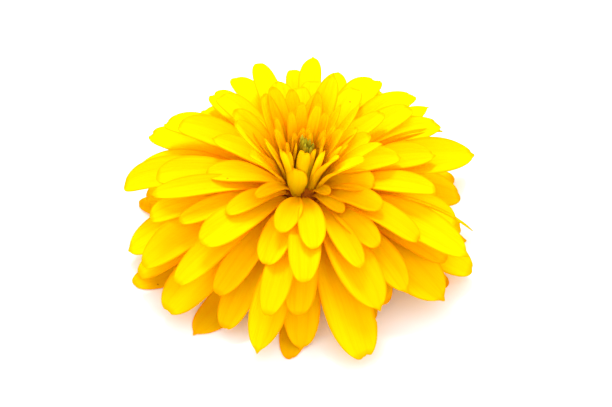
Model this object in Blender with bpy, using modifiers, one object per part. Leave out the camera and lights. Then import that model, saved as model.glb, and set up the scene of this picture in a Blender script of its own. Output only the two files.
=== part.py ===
"""Head of a pompon chrysanthemum, picked with a short end of its stem and resting on a flat surface.

Metres, +Z up. The origin is on the surface, below the middle of the head. Bearings are in degrees
seen from above, with 0 along +X and -90 along -Y, the side that the head leans towards.
"""
import math
import random
from collections import namedtuple

import bmesh
import bpy
from mathutils import Matrix, Vector

MM = 0.001

# The head as a whole
HEAD_PLACE = Vector((0.9, -2.2, 15.0)) * MM
HEAD_LEAN = math.radians(6.0)
HEAD_FRAME = Matrix.Translation(HEAD_PLACE) @ Matrix.Rotation(HEAD_LEAN, 4, "X") @ Matrix.Scale(MM, 4)
# The florets sway towards +X by this share of the square of their height in mm
SWAY = 0.005
SEED = 7

# Every floret is a blade this thick, and a blade's middle stays this far above the surface
BLADE_THICKNESS = 0.6 * MM
BLADE_LIFT = 0.35
SETTLE_DEPTH = 1.5

# Where along its length a blade is widest, and how wide its tip is as a share of its width
WIDEST_AT = 0.66
TIP_WIDTH = 0.28

# Cells along and across an open petal, and a short or narrow floret. They crowd towards the tip.
OPEN_CELLS = (3, 2)
SLIM_CELLS = (2, 2)
TIP_CROWDING = 1.4

# The receptacle, the core that all florets grow from: radius and height in the head, in mm
RECEPTACLE_PROFILE = (
    (0.0, 2.4), (1.9, 2.2), (3.2, 1.5), (4.6, 0.3), (6.0, -1.2), (7.1, -3.0), (6.9, -4.4), (4.6, -6.2),
    (0.0, -7.0),
)
TURNED_STEPS = 16
MERGE_DISTANCE = 0.05 * MM

# The calyx, a cup that holds the receptacle with a gap of 0.3 mm and narrows into the stem's end:
# up the inside from the middle, over the rim and down the outside. The stem is cut at the surface.
CALYX_PROFILE = (
    (0.0, -7.4), (4.6, -6.6), (6.7, -5.0), (7.4, -5.0), (7.0, -6.4), (5.4, -8.2), (3.4, -9.6), (2.4, -11.0),
    (2.1, -13.0), (2.1, -20.0), (0.0, -20.0),
)

# The disc florets: a low button in the middle of the receptacle's top, and buds on it in a spiral
DISC_PROFILE = ((0.0, 4.4), (0.9, 4.2), (1.4, 3.6), (1.4, 2.8), (0.0, 2.8))
BUD_COUNT = 7
BUD_RADII = (0.55, 0.4)
BUD_SIDES = 5
BUD_FOOT = 3.8
BUD_LENGTH = 12.4
BUD_SPREAD = 0.85
BUD_LEAN = math.radians(1.5)
BUD_SWAY = math.radians(5.5)
GOLDEN_ANGLE = math.pi * (3.0 - math.sqrt(5.0))

# A row of florets, from the lowest row to the innermost. count is for the whole ring. The root's
# radius and height, the length and the width are in mm. rise and droop are the slopes at the root
# and at the tip in degrees above the head's plane. cup is how deep the blade's trough is, as a
# share of half its width, and waist how narrow its root is. placed lists the florets that stand
# out, as (bearing, length, width), and the rest of the ring is filled evenly. open_front is half
# the angle on the -Y side that is left unfilled.
Row = namedtuple(
    "Row", "name count root_radius root_height rise droop length width cup waist cells open_front placed"
)

ROWS = (
    Row("skirt", 13, 6.2, -3.2, -8, -42, 37.0, 8.5, -0.10, 0.20, OPEN_CELLS, 0, (
        (-155, 41, 8.5), (-125, 39, 8.5), (-92, 39, 6.5), (-62, 30, 8), (168, 37, 8.5),
    )),
    Row("outer", 21, 6.2, -2.2, 6, -31, 36.0, 9.0, 0.18, 0.20, OPEN_CELLS, 0, (
        (-167, 36.5, 12), (-136, 36, 11.5), (-120, 31.5, 8), (-102, 35.5, 8.5), (-91, 33, 8.5),
        (-72, 37.5, 11), (-54, 27, 8.5), (-40, 35.5, 12.5), (-23, 36.5, 11.5), (6, 31, 11.5), (46, 41, 5.5),
        (77, 36, 7.5), (110, 41.5, 7), (128, 33.5, 8), (147, 39, 9), (175, 31, 8), (-8, 31.5, 9),
        (-152, 36, 8),
    )),
    Row("middle", 18, 5.8, -1.2, 20, -26, 31.0, 8.0, 0.25, 0.20, OPEN_CELLS, 0, (
        (-153, 35.5, 9.5), (-136, 33, 7), (-122, 28, 7), (-100, 30.5, 7), (-91, 28, 8), (-65, 31.5, 9.5),
        (-31, 31.5, 7), (-25, 36, 10), (-14, 30.5, 9), (12, 35.5, 11), (36, 33, 8.5), (49, 33.5, 8),
        (66, 35, 8), (87, 37, 5.5), (91, 34.5, 5.5), (108, 34, 6), (127, 33, 7), (145, 33, 9),
        (171, 37, 10),
    )),
    Row("upper", 16, 5.0, -0.4, 34, -14, 25.0, 7.0, 0.32, 0.20, OPEN_CELLS, 0, (
        (-178, 29, 9), (-165, 31, 6), (-153, 26, 5.5), (-135, 26, 9), (-108, 21, 7.5), (-89, 26.5, 7.5),
        (-64, 24, 5.5), (-50, 21.5, 6), (-35, 27, 7), (154, 28, 8),
    )),
    Row("short", 12, 4.2, 0.6, 44, -2, 19.0, 6.0, 0.38, 0.22, SLIM_CELLS, 0, (
        (-142, 18.5, 5), (-103, 16.5, 6), (-83, 20.5, 6.5), (-54, 11.5, 4), (-36, 18, 6.5),
        (-18, 13.5, 7.5),
    )),
    Row("tongues", 1, 3.6, 1.2, 64, 4, 9.0, 3.0, 0.36, 0.50, SLIM_CELLS, 0, (
        (-141, 13, 3.5), (-47, 6.5, 3),
    )),
    Row("mitten", 1, 4.0, 0.4, 74, 104, 10.0, 6.2, 0.50, 0.40, SLIM_CELLS, 0, (
        (-115, 10.4, 6.2),
    )),
    Row("rising", 18, 3.9, 0.8, 70, 44, 21.0, 4.6, 0.45, 0.40, SLIM_CELLS, 48, (
        (8, 17.5, 6), (27, 16, 3.5), (37, 20, 2.5), (54, 18, 2.5), (72, 23, 6), (84, 19, 5),
        (106, 19.5, 4.5), (126, 22.5, 5), (131, 18, 3), (142, 22, 5.5), (165, 24.5, 6.5), (171, 18.5, 3),
        (-178, 24, 6.5),
    )),
    Row("narrow", 15, 3.4, 1.2, 80, 62, 17.0, 3.6, 0.55, 0.55, SLIM_CELLS, 48, (
        (-168, 20, 2.4), (-16, 15, 2.4), (-2, 15, 2.2), (35, 15, 2.2), (148, 17, 2.4),
    )),
    Row("quills", 9, 3.2, 1.4, 84, 88, 14.0, 2.8, 0.80, 0.80, SLIM_CELLS, 0, (
        (-148, 13.5, 3), (-103, 14, 4), (-48, 15.5, 3), (15, 14, 2.6), (38, 14.5, 2.4), (80, 14, 2.6),
        (115, 14, 2.6), (142, 14, 2.6), (176, 14, 2.6),
    )),
    Row("heart", 6, 2.4, 2.0, 86, 92, 13.5, 1.7, 0.60, 0.75, SLIM_CELLS, 0, (
        (-118, 14, 2.4), (-60, 13, 1.8),
    )),
)

BRACTS = Row("bract", 13, 6.0, -6.2, -34, -60, 9.5, 4.0, -0.10, 0.6, SLIM_CELLS, 0, ())

# How much the filled florets vary: bearing in parts of the row's spacing, the rest as shares
BEARING_PLAY = 0.18
LENGTH_PLAY = 0.07
WIDTH_PLAY = 0.10
STAGGER = 2.2
SLOPE_PLAY = 1.5
BEND_PLAY = 0.05
TWIST_PLAY = 8.0
FIRST_BEARING = 6.0

Floret = namedtuple("Floret", "bearing length width lift bend twist")


def clear_scene():
    for old in list(bpy.data.objects):
        bpy.data.objects.remove(old, do_unlink=True)


def make_collection(name):
    collection = bpy.data.collections.new(name)
    bpy.context.scene.collection.children.link(collection)
    return collection


def make_material(name, colour, roughness):
    material = bpy.data.materials.new(name)
    material.use_nodes = True
    shader = material.node_tree.nodes["Principled BSDF"]
    shader.inputs["Base Color"].default_value = (*colour, 1.0)
    shader.inputs["Roughness"].default_value = roughness
    shader.inputs["Metallic"].default_value = 0.0
    return material


def make_object(name, mesh, collection, material):
    thing = bpy.data.objects.new(name, mesh)
    collection.objects.link(thing)
    mesh.materials.append(material)
    return thing


def mesh_from(bm, name):
    mesh = bpy.data.meshes.new(name)
    bm.to_mesh(mesh)
    bm.free()
    return mesh


def vary(bearing, length, width, over, rng):
    """A floret with its own small lift, bend and twist. It lies over or under its neighbours."""
    lift = STAGGER * (1 if over else -1) + rng.uniform(-1, 1) * SLOPE_PLAY
    bend = rng.uniform(-1, 1) * BEND_PLAY
    twist = rng.uniform(-1, 1) * TWIST_PLAY
    return Floret(bearing, length, width, lift, bend, twist)


def row_florets(row):
    """Every floret of a row: the placed ones, under and over in turn, and the gaps between them filled."""
    rng = random.Random(f"{SEED} {row.name}")
    first = row.placed or ((FIRST_BEARING, row.length, row.width),)
    placed = [
        (bearing % 360.0, number % 2, vary(bearing, length, width, number % 2, rng))
        for number, (bearing, length, width) in enumerate(first)
    ]
    florets = [floret for _, _, floret in placed]
    ring = sorted(placed, key=lambda place: place[0])
    spacing = 360.0 / row.count
    for here, following in zip(ring, ring[1:] + [(ring[0][0] + 360.0, 0, None)]):
        gap = following[0] - here[0]
        steps = max(1, round(gap / spacing))
        for step in range(1, steps):
            bearing = here[0] + gap * step / steps + rng.uniform(-1, 1) * BEARING_PLAY * spacing
            length = row.length * (1 + rng.uniform(-1, 1) * LENGTH_PLAY)
            width = row.width * (1 + rng.uniform(-1, 1) * WIDTH_PLAY)
            florets.append(vary(bearing, length, width, (here[1] + step) % 2, rng))
    return [floret for floret in florets if turned_from_front(floret.bearing) >= row.open_front]


def turned_from_front(bearing):
    return abs((bearing + 90.0 + 180.0) % 360.0 - 180.0)


def half_width(row, floret, along):
    """Half the blade's width at a share of its length: a slim root, widest at two thirds, a blunt tip."""
    if along < WIDEST_AT:
        share = along / WIDEST_AT
        swell = share * share * (3 - 2 * share)
        return 0.5 * floret.width * (row.waist + (1 - row.waist) * swell ** 0.8)
    share = (along - WIDEST_AT) / (1 - WIDEST_AT)
    return 0.5 * floret.width * max((1 - share ** 2.4) ** 0.5, TIP_WIDTH)


def blade_point(row, floret, along, across):
    """A point of a floret's middle surface, in the head's own frame and in mm."""
    start = math.radians(row.rise + floret.lift)
    end = math.radians(row.droop + floret.lift)
    slope = start + (end - start) * along
    arc = floret.length / (end - start)
    radius = row.root_radius + arc * (math.sin(slope) - math.sin(start))
    height = row.root_height - arc * (math.cos(slope) - math.cos(start))
    bearing = math.radians(floret.bearing)
    outward = Vector((math.cos(bearing), math.sin(bearing), 0))
    sideways = Vector((-math.sin(bearing), math.cos(bearing), 0))
    normal = Vector((0, 0, 1)) * math.cos(slope) - outward * math.sin(slope)
    turn = math.radians(floret.twist) * along
    reach = half_width(row, floret, along)
    point = outward * radius + Vector((0, 0, height))
    point += sideways * (floret.bend * floret.length * along * along)
    point += (sideways * math.cos(turn) + normal * math.sin(turn)) * (reach * across)
    point += (normal * math.cos(turn) - sideways * math.sin(turn)) * (row.cup * reach * across * across)
    point.x += SWAY * max(point.z, 0.0) ** 2
    return point


def settle(point):
    """Bends a point of a blade that would pass through the surface so that it lies along it."""
    low = (BLADE_LIFT + SETTLE_DEPTH) * MM
    if point.z < low:
        point.z = BLADE_LIFT * MM + SETTLE_DEPTH * MM * math.exp((point.z - low) / (SETTLE_DEPTH * MM))
    return point


def blade_mesh(name, point_at, cells):
    """A grid laid over a blade, split into triangles so that both faces of the blade are alike."""
    along_cells, across_cells = cells
    bm = bmesh.new()
    bmesh.ops.create_grid(bm, x_segments=across_cells, y_segments=along_cells, size=0.5)
    bmesh.ops.triangulate(bm, faces=bm.faces[:])
    for vertex in bm.verts:
        vertex.co = point_at(1 - (0.5 - vertex.co.y) ** TIP_CROWDING, 2 * vertex.co.x)
    return mesh_from(bm, name)


def thicken(thing, thickness):
    solid = thing.modifiers.new("thickness", "SOLIDIFY")
    solid.thickness = thickness
    solid.offset = 0.0


def turned_mesh(name, profile):
    """A closed turned solid from a profile of (radius, height) in mm that runs from its top to its foot."""
    bm = bmesh.new()
    points = [bm.verts.new((radius * MM, 0, height * MM)) for radius, height in profile]
    for here, following in zip(points, points[1:]):
        bm.edges.new((here, following))
    turned = bpy.data.objects.new(name, mesh_from(bm, name))
    bpy.context.scene.collection.objects.link(turned)
    screw = turned.modifiers.new("turn", "SCREW")
    screw.steps = screw.render_steps = TURNED_STEPS
    screw.use_merge_vertices = True
    screw.merge_threshold = MERGE_DISTANCE
    mesh = evaluated_mesh(turned)
    bpy.data.objects.remove(turned, do_unlink=True)
    mesh.transform(HEAD_FRAME @ Matrix.Scale(1 / MM, 4))
    return mesh


def evaluated_mesh(thing):
    bpy.context.view_layer.update()
    evaluated = thing.evaluated_get(bpy.context.evaluated_depsgraph_get())
    return bpy.data.meshes.new_from_object(evaluated)


def fuse(body, pieces):
    """Joins every object of a collection to a body with one union, and removes the collection."""
    union = body.modifiers.new("grown together", "BOOLEAN")
    union.operation = "UNION"
    union.operand_type = "COLLECTION"
    union.collection = pieces
    union.solver = "MANIFOLD"
    mesh = evaluated_mesh(body)
    body.modifiers.remove(union)
    body.data = mesh
    for piece in list(pieces.objects):
        bpy.data.objects.remove(piece, do_unlink=True)
    bpy.data.collections.remove(pieces)


def keep_largest_body(thing):
    """Drops loose scraps, so that what is left is one body."""
    bm = bmesh.new()
    bm.from_mesh(thing.data)
    unseen = set(bm.verts)
    bodies = []
    while unseen:
        stack = [unseen.pop()]
        body = set(stack)
        while stack:
            for edge in stack.pop().link_edges:
                for vertex in edge.verts:
                    if vertex in unseen:
                        unseen.remove(vertex)
                        body.add(vertex)
                        stack.append(vertex)
        bodies.append(body)
    bodies.sort(key=len, reverse=True)
    scraps = [vertex for body in bodies[1:] for vertex in body]
    bmesh.ops.delete(bm, geom=scraps, context="VERTS")
    bm.to_mesh(thing.data)
    bm.free()


def add_blades(row, pieces, material):
    for number, floret in enumerate(row_florets(row)):
        def point_at(along, across, floret=floret):
            return settle(HEAD_FRAME @ blade_point(row, floret, along, across))

        mesh = blade_mesh(row.name, point_at, row.cells)
        blade = make_object(f"{row.name}_{number}", mesh, pieces, material)
        thicken(blade, BLADE_THICKNESS)


def build_ray_florets(collection, material):
    body = make_object("ray_florets", turned_mesh("receptacle", RECEPTACLE_PROFILE), collection, material)
    pieces = make_collection("florets")
    for row in ROWS:
        add_blades(row, pieces, material)
    fuse(body, pieces)
    keep_largest_body(body)


def build_calyx(collection, material):
    body = make_object("calyx", turned_mesh("cup", CALYX_PROFILE), collection, material)
    pieces = make_collection("bracts")
    add_blades(BRACTS, pieces, material)
    fuse(body, pieces)
    cut_at_surface(body)


def cut_at_surface(body):
    bm = bmesh.new()
    bm.from_mesh(body.data)
    everything = bm.verts[:] + bm.edges[:] + bm.faces[:]
    cut = bmesh.ops.bisect_plane(
        bm, geom=everything, plane_co=(0, 0, 0), plane_no=(0, 0, 1), clear_inner=True
    )
    edges = [part for part in cut["geom_cut"] if isinstance(part, bmesh.types.BMEdge)]
    bmesh.ops.contextual_create(bm, geom=edges)
    bm.to_mesh(body.data)
    bm.free()


def build_disc_florets(collection, material):
    body = make_object("disc_florets", turned_mesh("button", DISC_PROFILE), collection, material)
    pieces = make_collection("buds")
    cluster = HEAD_FRAME @ Matrix.Translation((0, 0, BUD_FOOT)) @ Matrix.Rotation(BUD_SWAY, 4, "Y")
    for number in range(BUD_COUNT):
        share = math.sqrt((number + 0.5) / BUD_COUNT)
        round_head = Matrix.Rotation(number * GOLDEN_ANGLE, 4, "Z")
        foot = Matrix.Translation((BUD_SPREAD * share, 0, 0))
        lean = Matrix.Rotation(BUD_LEAN * share, 4, "Y")
        middle = Matrix.Translation((0, 0, BUD_LENGTH / 2))
        bm = bmesh.new()
        bmesh.ops.create_cone(
            bm, cap_ends=True, segments=BUD_SIDES, radius1=BUD_RADII[0], radius2=BUD_RADII[1],
            depth=BUD_LENGTH, matrix=cluster @ round_head @ foot @ lean @ middle,
        )
        make_object(f"bud_{number}", mesh_from(bm, "bud"), pieces, material)
    fuse(body, pieces)
    keep_largest_body(body)


def main():
    clear_scene()
    parts = make_collection("pompon_chrysanthemum")
    build_ray_florets(parts, make_material("yellow_petal", (0.95, 0.62, 0.01), 0.5))
    build_disc_florets(parts, make_material("olive_bud", (0.42, 0.38, 0.03), 0.55))
    build_calyx(parts, make_material("green_bract", (0.16, 0.30, 0.05), 0.6))


main()
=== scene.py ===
"""Petals, buds, bracts and light for the head of a pompon chrysanthemum that rests on a pale surface.

Metres, +Z up, with the origin on the surface below the middle of the head. Bearings are in degrees
seen from above, with 0 along +X and -90 along -Y, the side that the head leans towards.
"""

import math
import random
from collections import namedtuple

import bmesh
import bpy
from bpy.props import FloatProperty, FloatVectorProperty, IntProperty, PointerProperty
from bpy.types import Operator, Panel, PropertyGroup
from mathutils import Matrix, Vector


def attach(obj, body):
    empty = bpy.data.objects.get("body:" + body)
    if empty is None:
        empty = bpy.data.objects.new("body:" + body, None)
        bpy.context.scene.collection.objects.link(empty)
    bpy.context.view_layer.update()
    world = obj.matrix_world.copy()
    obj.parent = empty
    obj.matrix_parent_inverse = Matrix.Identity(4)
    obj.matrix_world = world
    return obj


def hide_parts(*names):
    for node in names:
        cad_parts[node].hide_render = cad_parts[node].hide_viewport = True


bl_info = {
    "name": "Pompon Chrysanthemum",
    "version": (1, 0, 0),
    "blender": (4, 5, 0),
    "location": "3D View > Sidebar > Flower",
    "description": "Adds the petals, buds and bracts of a chrysanthemum head, with a floor and soft light",
    "category": "Add Mesh",
}

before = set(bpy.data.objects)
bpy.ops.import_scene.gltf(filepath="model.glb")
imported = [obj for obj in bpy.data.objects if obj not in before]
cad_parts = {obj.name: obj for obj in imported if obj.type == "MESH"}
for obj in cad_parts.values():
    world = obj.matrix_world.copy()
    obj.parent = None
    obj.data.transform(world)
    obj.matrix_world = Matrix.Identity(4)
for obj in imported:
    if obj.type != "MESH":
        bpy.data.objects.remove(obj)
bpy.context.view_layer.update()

MM = 0.001
BODY = "root"

# The head as a whole
HEAD_PLACE = Vector((0.9, -2.2, 15.0)) * MM
HEAD_LEAN = math.radians(6.0)
HEAD_FRAME = Matrix.Translation(HEAD_PLACE) @ Matrix.Rotation(HEAD_LEAN, 4, "X") @ Matrix.Scale(MM, 4)
# The florets sway towards +X by this share of the square of their height in mm
SWAY = 0.005
SEED = 7
GOLDEN_ANGLE = math.pi * (3.0 - math.sqrt(5.0))

# The receptacle, the cup below it and the button between the buds: radius and height in the head, in mm
RECEPTACLE_PROFILE = (
    (0.0, 2.4), (1.9, 2.2), (3.2, 1.5), (4.6, 0.3), (6.0, -1.2), (7.1, -3.0), (6.9, -4.4), (4.6, -6.2),
    (0.0, -7.0),
)
CALYX_PROFILE = (
    (0.0, -7.4), (4.6, -6.6), (6.7, -5.0), (7.4, -5.0), (7.0, -6.4), (5.4, -8.2), (3.4, -9.6), (2.4, -11.0),
    (2.1, -13.0), (2.1, -20.0), (0.0, -20.0),
)
BUTTON_PROFILE = ((0.0, 4.4), (0.9, 4.2), (1.4, 3.6), (1.4, 2.8), (0.0, 2.8))
TURNED_STEPS = 48
MERGE_DISTANCE = 0.02 * MM

# The shape that all blades share. A place along a blade runs from 0 at its root to 1 at its tip, and
# a place across it from -1 at one rim to 1 at the other.
WIDEST_AT = 0.66
SWELL_POWER = 0.8
TIP_POWER = 2.4
TIP_CROWDING = 1.7
# How closely the round of the tip, and its point and notches, keep to the blade's end
ROUND_POWER = 40.0
POINT_POWER = 12.0
# Across the blade: how wide the point and the notches are, and where the notch at the side is
POINT_WIDTH = 0.4
MID_NOTCH_WIDTH = 0.3
SIDE_NOTCH_AT = 0.45
SIDE_NOTCH_WIDTH = 0.25
# A blade's trough is curled by its cup times this at its root, and times 1 less at its tip
CURL_AT_ROOT = 2.5
# The two grooves: where they lie across the blade, how wide they are, and how they fade at its ends
GROOVE_AT = 0.36
GROOVE_WIDTH = 0.10
GROOVE_START = 3.0
GROOVE_END_POWER = 6.0
# The waves of the rims, in radians over the blade's length and over half its width
WAVES_ALONG = 9.0
WAVES_ACROSS = 1.1
WAVE_START = 2.0
WAVE_HEIGHTS = (0.03, 0.10)
# The tip curls up or down from here on, by a share of the blade's length
TIP_CURL_FROM = 0.72
TIP_CURLS = (-0.02, 0.03)
# How close to its rim and to its end a blade gets thin, and how much thicker it is at its root
RIM_POWER = 4.0
END_POWER = 14.0
ROOT_THICKENING = 0.8

# The look of a petal. Its own map is in mm, and its veins are noise that is stretched along it. The
# noise times the gain less the offset says how much of a vein shows.
VEIN_SCALE = (2.6, 0.07, 1.0)
VEIN_DETAIL = 4.0
VEIN_ROUGHNESS = 0.6
VEIN_GAIN = 3.4
VEIN_OFFSET = 1.4
VEIN_BUMP = 0.16 * MM
VEIN_RELIEF = 0.5
PETAL_ROUGHNESS = 0.48
VEIN_GLOSS = 0.18
# Its face's colour is scaled by these: the first for its own deeper tone and for the painted shade in its
# grooves, the second for the painted shade at its rim
DEEPER = (1.0, 0.80, 0.80)
RIM_PAINTED_SHADE = (1.0, 0.62, 0.50)
# How much of them shows: over a whole petal and on its veins as its own deeper tone, and in its grooves and
# at its rim as painted shade
TINT_SHARE = 0.5
VEIN_SHARE = 0.45
GROOVE_SHADE_SHARE = 0.35
RIM_SHADE_SHARE = 0.75
GROOVE_SHADE_WIDTH = 0.09
# Where the painted shade at the rim starts, across the blade and towards the tip's end
RIM_FROM_ACROSS = 0.84
RIM_FROM_ALONG = 0.965
# The root's colour, partly the floret's own deeper colour and partly painted shade where the roots lie under
# the florets above, is unmixed for this share of its reach. How far up it reaches, by colour.
ROOT_UNMIXED = 0.15
ROOT_REACH = {"yellow": 0.5, "gold": 0.62, "olive": 0.95}
# The share of the light that comes through a petal
SEEN_THROUGH = 0.45

# Small brown flecks on the petals: cells on the petal's own map, of which most stay empty. Each
# petal's tint, which is drawn for it, shifts its map by a share of these, so that no two are alike.
FLECK_SPACING = 14.0
FLECK_RADIUS = 0.3
FLECKS_HIDDEN = 0.90
FLECK_SHIFT = (370.0, 210.0)
FLECK_SHARE = 0.7
FLECK_BROWN = (0.35, 0.10, 0.004, 1.0)

# The look of the matt parts: mottled with noise, whose scale is in cells a metre
MOTTLE_DETAIL = 5.0
MOTTLE_GAIN = 2.4
MOTTLE_OFFSET = 0.7
MOTTLE_GLOSS = 0.2
MOTTLE_BUMP = 0.1 * MM
MOTTLE_RELIEF = 0.4
MATT_SPECULAR = 0.08
DARKER = (0.6, 0.6, 0.6)
# The core's colour is painted shade: dark red-brown, near black in its darkest mottling, for the deep gaps
# between the petals' roots
CORE_PAINTED_SHADE = (0.50, 0.13, 0.001)
CORE_DEEPEST_SHADE = (0.05, 0.005, 0.0005, 1.0)
# The scale of the mottling and the roughness of each matt part
MATT_SKINS = {"core": (400.0, 0.8), "bud": (900.0, 0.55), "bract": (500.0, 0.6)}

# The stage
FLOOR_ROUGHNESS = 0.8
FLOOR_SPECULAR = 0.1
SENSOR_WIDTH = 36.0
NEAREST_SEEN = 0.01

# A row of florets, from the lowest row to the innermost. count is for the whole ring. The root's
# radius and height, the length and the width are in mm. rise and droop are the slopes at the root
# and at the tip in degrees above the head's plane. cup is how deep the blade's trough is, as a
# share of half its width, and waist how narrow its root is. open_front is half the angle on the -Y
# side that is left unfilled. placed lists the florets that stand out, as (bearing, length, width),
# and the rest of the ring is filled evenly.
Row = namedtuple(
    "Row", "name count root_radius root_height rise droop length width cup waist open_front placed"
)

ROWS = (
    Row("skirt", 13, 6.2, -3.2, -8, -42, 37.0, 8.5, -0.10, 0.20, 0, (
        (-155, 41, 8.5), (-125, 39, 8.5), (-92, 39, 6.5), (-62, 30, 8), (168, 37, 8.5),
    )),
    Row("outer", 21, 6.2, -2.2, 6, -31, 36.0, 9.0, 0.18, 0.20, 0, (
        (-167, 36.5, 12), (-136, 36, 11.5), (-120, 31.5, 8), (-102, 35.5, 8.5), (-91, 33, 8.5),
        (-72, 37.5, 11), (-54, 27, 8.5), (-40, 35.5, 12.5), (-23, 36.5, 11.5), (6, 31, 11.5), (46, 41, 5.5),
        (77, 36, 7.5), (110, 41.5, 7), (128, 33.5, 8), (147, 39, 9), (175, 31, 8), (-8, 31.5, 9),
        (-152, 36, 8),
    )),
    Row("middle", 18, 5.8, -1.2, 20, -26, 31.0, 8.0, 0.25, 0.20, 0, (
        (-153, 35.5, 9.5), (-136, 33, 7), (-122, 28, 7), (-100, 30.5, 7), (-91, 28, 8), (-65, 31.5, 9.5),
        (-31, 31.5, 7), (-25, 36, 10), (-14, 30.5, 9), (12, 35.5, 11), (36, 33, 8.5), (49, 33.5, 8),
        (66, 35, 8), (87, 37, 5.5), (91, 34.5, 5.5), (108, 34, 6), (127, 33, 7), (145, 33, 9),
        (171, 37, 10),
    )),
    Row("upper", 16, 5.0, -0.4, 34, -14, 25.0, 7.0, 0.32, 0.20, 0, (
        (-178, 29, 9), (-165, 31, 6), (-153, 26, 5.5), (-135, 26, 9), (-108, 21, 7.5), (-89, 26.5, 7.5),
        (-64, 24, 5.5), (-50, 21.5, 6), (-35, 27, 7), (154, 28, 8),
    )),
    Row("short", 12, 4.2, 0.6, 44, -2, 19.0, 6.0, 0.38, 0.22, 0, (
        (-142, 18.5, 5), (-103, 16.5, 6), (-83, 20.5, 6.5), (-54, 11.5, 4), (-36, 18, 6.5),
        (-18, 13.5, 7.5),
    )),
    Row("tongues", 1, 3.6, 1.2, 64, 4, 9.0, 3.0, 0.36, 0.50, 0, ((-141, 13, 3.5), (-47, 6.5, 3))),
    Row("mitten", 1, 4.0, 0.4, 74, 104, 10.0, 6.2, 0.50, 0.40, 0, ((-115, 10.4, 6.2),)),
    Row("rising", 18, 3.9, 0.8, 70, 44, 21.0, 4.6, 0.45, 0.40, 48, (
        (8, 17.5, 6), (27, 16, 3.5), (37, 20, 2.5), (54, 18, 2.5), (72, 23, 6), (84, 19, 5),
        (106, 19.5, 4.5), (126, 22.5, 5), (131, 18, 3), (142, 22, 5.5), (165, 24.5, 6.5), (171, 18.5, 3),
        (-178, 24, 6.5),
    )),
    Row("narrow", 15, 3.4, 1.2, 80, 62, 17.0, 3.6, 0.55, 0.55, 48, (
        (-168, 20, 2.4), (-16, 15, 2.4), (-2, 15, 2.2), (35, 15, 2.2), (148, 17, 2.4),
    )),
    Row("quills", 9, 3.2, 1.4, 84, 88, 14.0, 2.8, 0.80, 0.80, 0, (
        (-148, 13.5, 3), (-103, 14, 4), (-48, 15.5, 3), (15, 14, 2.6), (38, 14.5, 2.4), (80, 14, 2.6),
        (115, 14, 2.6), (142, 14, 2.6), (176, 14, 2.6),
    )),
    Row("heart", 6, 2.4, 2.0, 86, 92, 13.5, 1.7, 0.60, 0.75, 0, ((-118, 14, 2.4), (-60, 13, 1.8))),
)
# Two rolled florets, hardly wider than a thread, stand out between the petals on the +X side
THIN_ROWS = (
    Row("thin", 1, 6.2, -1.6, 24, -44, 36.0, 1.1, 0.9, 0.9, 0, ((-8.5, 35.5, 1.1), (31, 35, 1.7))),
)
BRACTS = (
    Row("bract", 13, 6.0, -6.2, -34, -60, 9.5, 4.0, -0.10, 0.6, 0, ()),
)

# How much the filled florets vary: bearing in parts of the row's spacing, length and width as shares
BEARING_PLAY = 0.18
LENGTH_PLAY = 0.07
WIDTH_PLAY = 0.10
# How much all florets vary: over and under their neighbours, their slope and their twist in degrees,
# and their bend to a side as a share of the length
STAGGER = 2.2
SLOPE_PLAY = 1.5
TWIST_PLAY = 8.0
BEND_PLAY = 0.05
# Where the filling of a ring with no placed floret starts
FIRST_BEARING = 6.0

Floret = namedtuple("Floret", "bearing length width lift bend twist")

# A tip's width as a share of its floret's, how sharply its outline ends, and how far its point
# stands out as a share of the length. Each is a range to draw from.
Tip = namedtuple("Tip", "width sharp point")
TIPS = {
    "blunt": Tip((0.26, 0.34), (0.48, 0.56), (0.0, 0.0)),
    "sharp": Tip((0.14, 0.18), (0.9, 1.0), (0.02, 0.02)),
    "pointed": Tip((0.22, 0.28), (0.62, 0.8), (0.008, 0.02)),
    "round": Tip((0.30, 0.40), (0.42, 0.56), (0.0, 0.0)),
}
# The rows of slim florets have blunt tips
BLUNT_ROWS = ("mitten", "narrow", "quills", "heart", "thin")
# Florets of the other rows whose tips are seen to be pointed, to end in a sharp point, or to be
# ragged, by their bearing. The other placed ones are round, and a share of the filled ones is pointed.
POINTED_TIPS = {
    "skirt": (-125,), "outer": (-167, -102, -91, -40, 77), "middle": (-65, -25, 12), "rising": (72, 84),
}
SHARP_TIPS = {"outer": (46,), "middle": (87,), "rising": (37, 54)}
RAGGED_TIPS = {"outer": (128, 147, -72), "middle": (66, 127, 145)}
POINTED_SHARE = 0.35
# How deep the two notches of a tip are, as shares of the length: a range for the ragged ones, and
# depths to choose from for the others
RAGGED_NOTCHES = (0.012, 0.02)
MID_NOTCHES = (0.0, 0.0, 0.0, 0.010)
SIDE_NOTCHES = (0.0, 0.0, 0.006, 0.010)
# The floret whose rim has a nick near its tip: where along it, over what length, and how deep
NICKED = ("outer", -72.0)
NICK_AT = 0.78
NICK_REACH = 0.016
NICK_DEPTH = 0.14

# A bud: faces round it and along it, lobes, and how its girth changes from its foot to its end
BUD_SIDES = 15
BUD_RINGS = 9
BUD_LOBES = 5.0
LOBE_DEPTH = 0.16
BUD_NARROWING = 0.42
BUD_SWELL = 0.36
BUD_SWELL_AT = 0.86
BUD_SWELL_REACH = 0.12
BUD_CLOSING = 0.75
BUD_STRETCH = (0.86, 1.08)

# The rows that make up each piece, and the colour of its florets
PETAL_PIECES = (
    ("skirt_petals", ("skirt",), "yellow"),
    ("outer_petals", ("outer", "thin"), "yellow"),
    ("middle_petals", ("middle",), "yellow"),
    ("upper_petals", ("upper",), "yellow"),
    ("short_petals", ("short", "tongues"), "yellow"),
    ("rising_petals", ("mitten", "rising", "narrow"), "gold"),
    ("quilled_petals", ("quills",), "gold"),
    ("heart_petals", ("heart",), "olive"),
)


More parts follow.
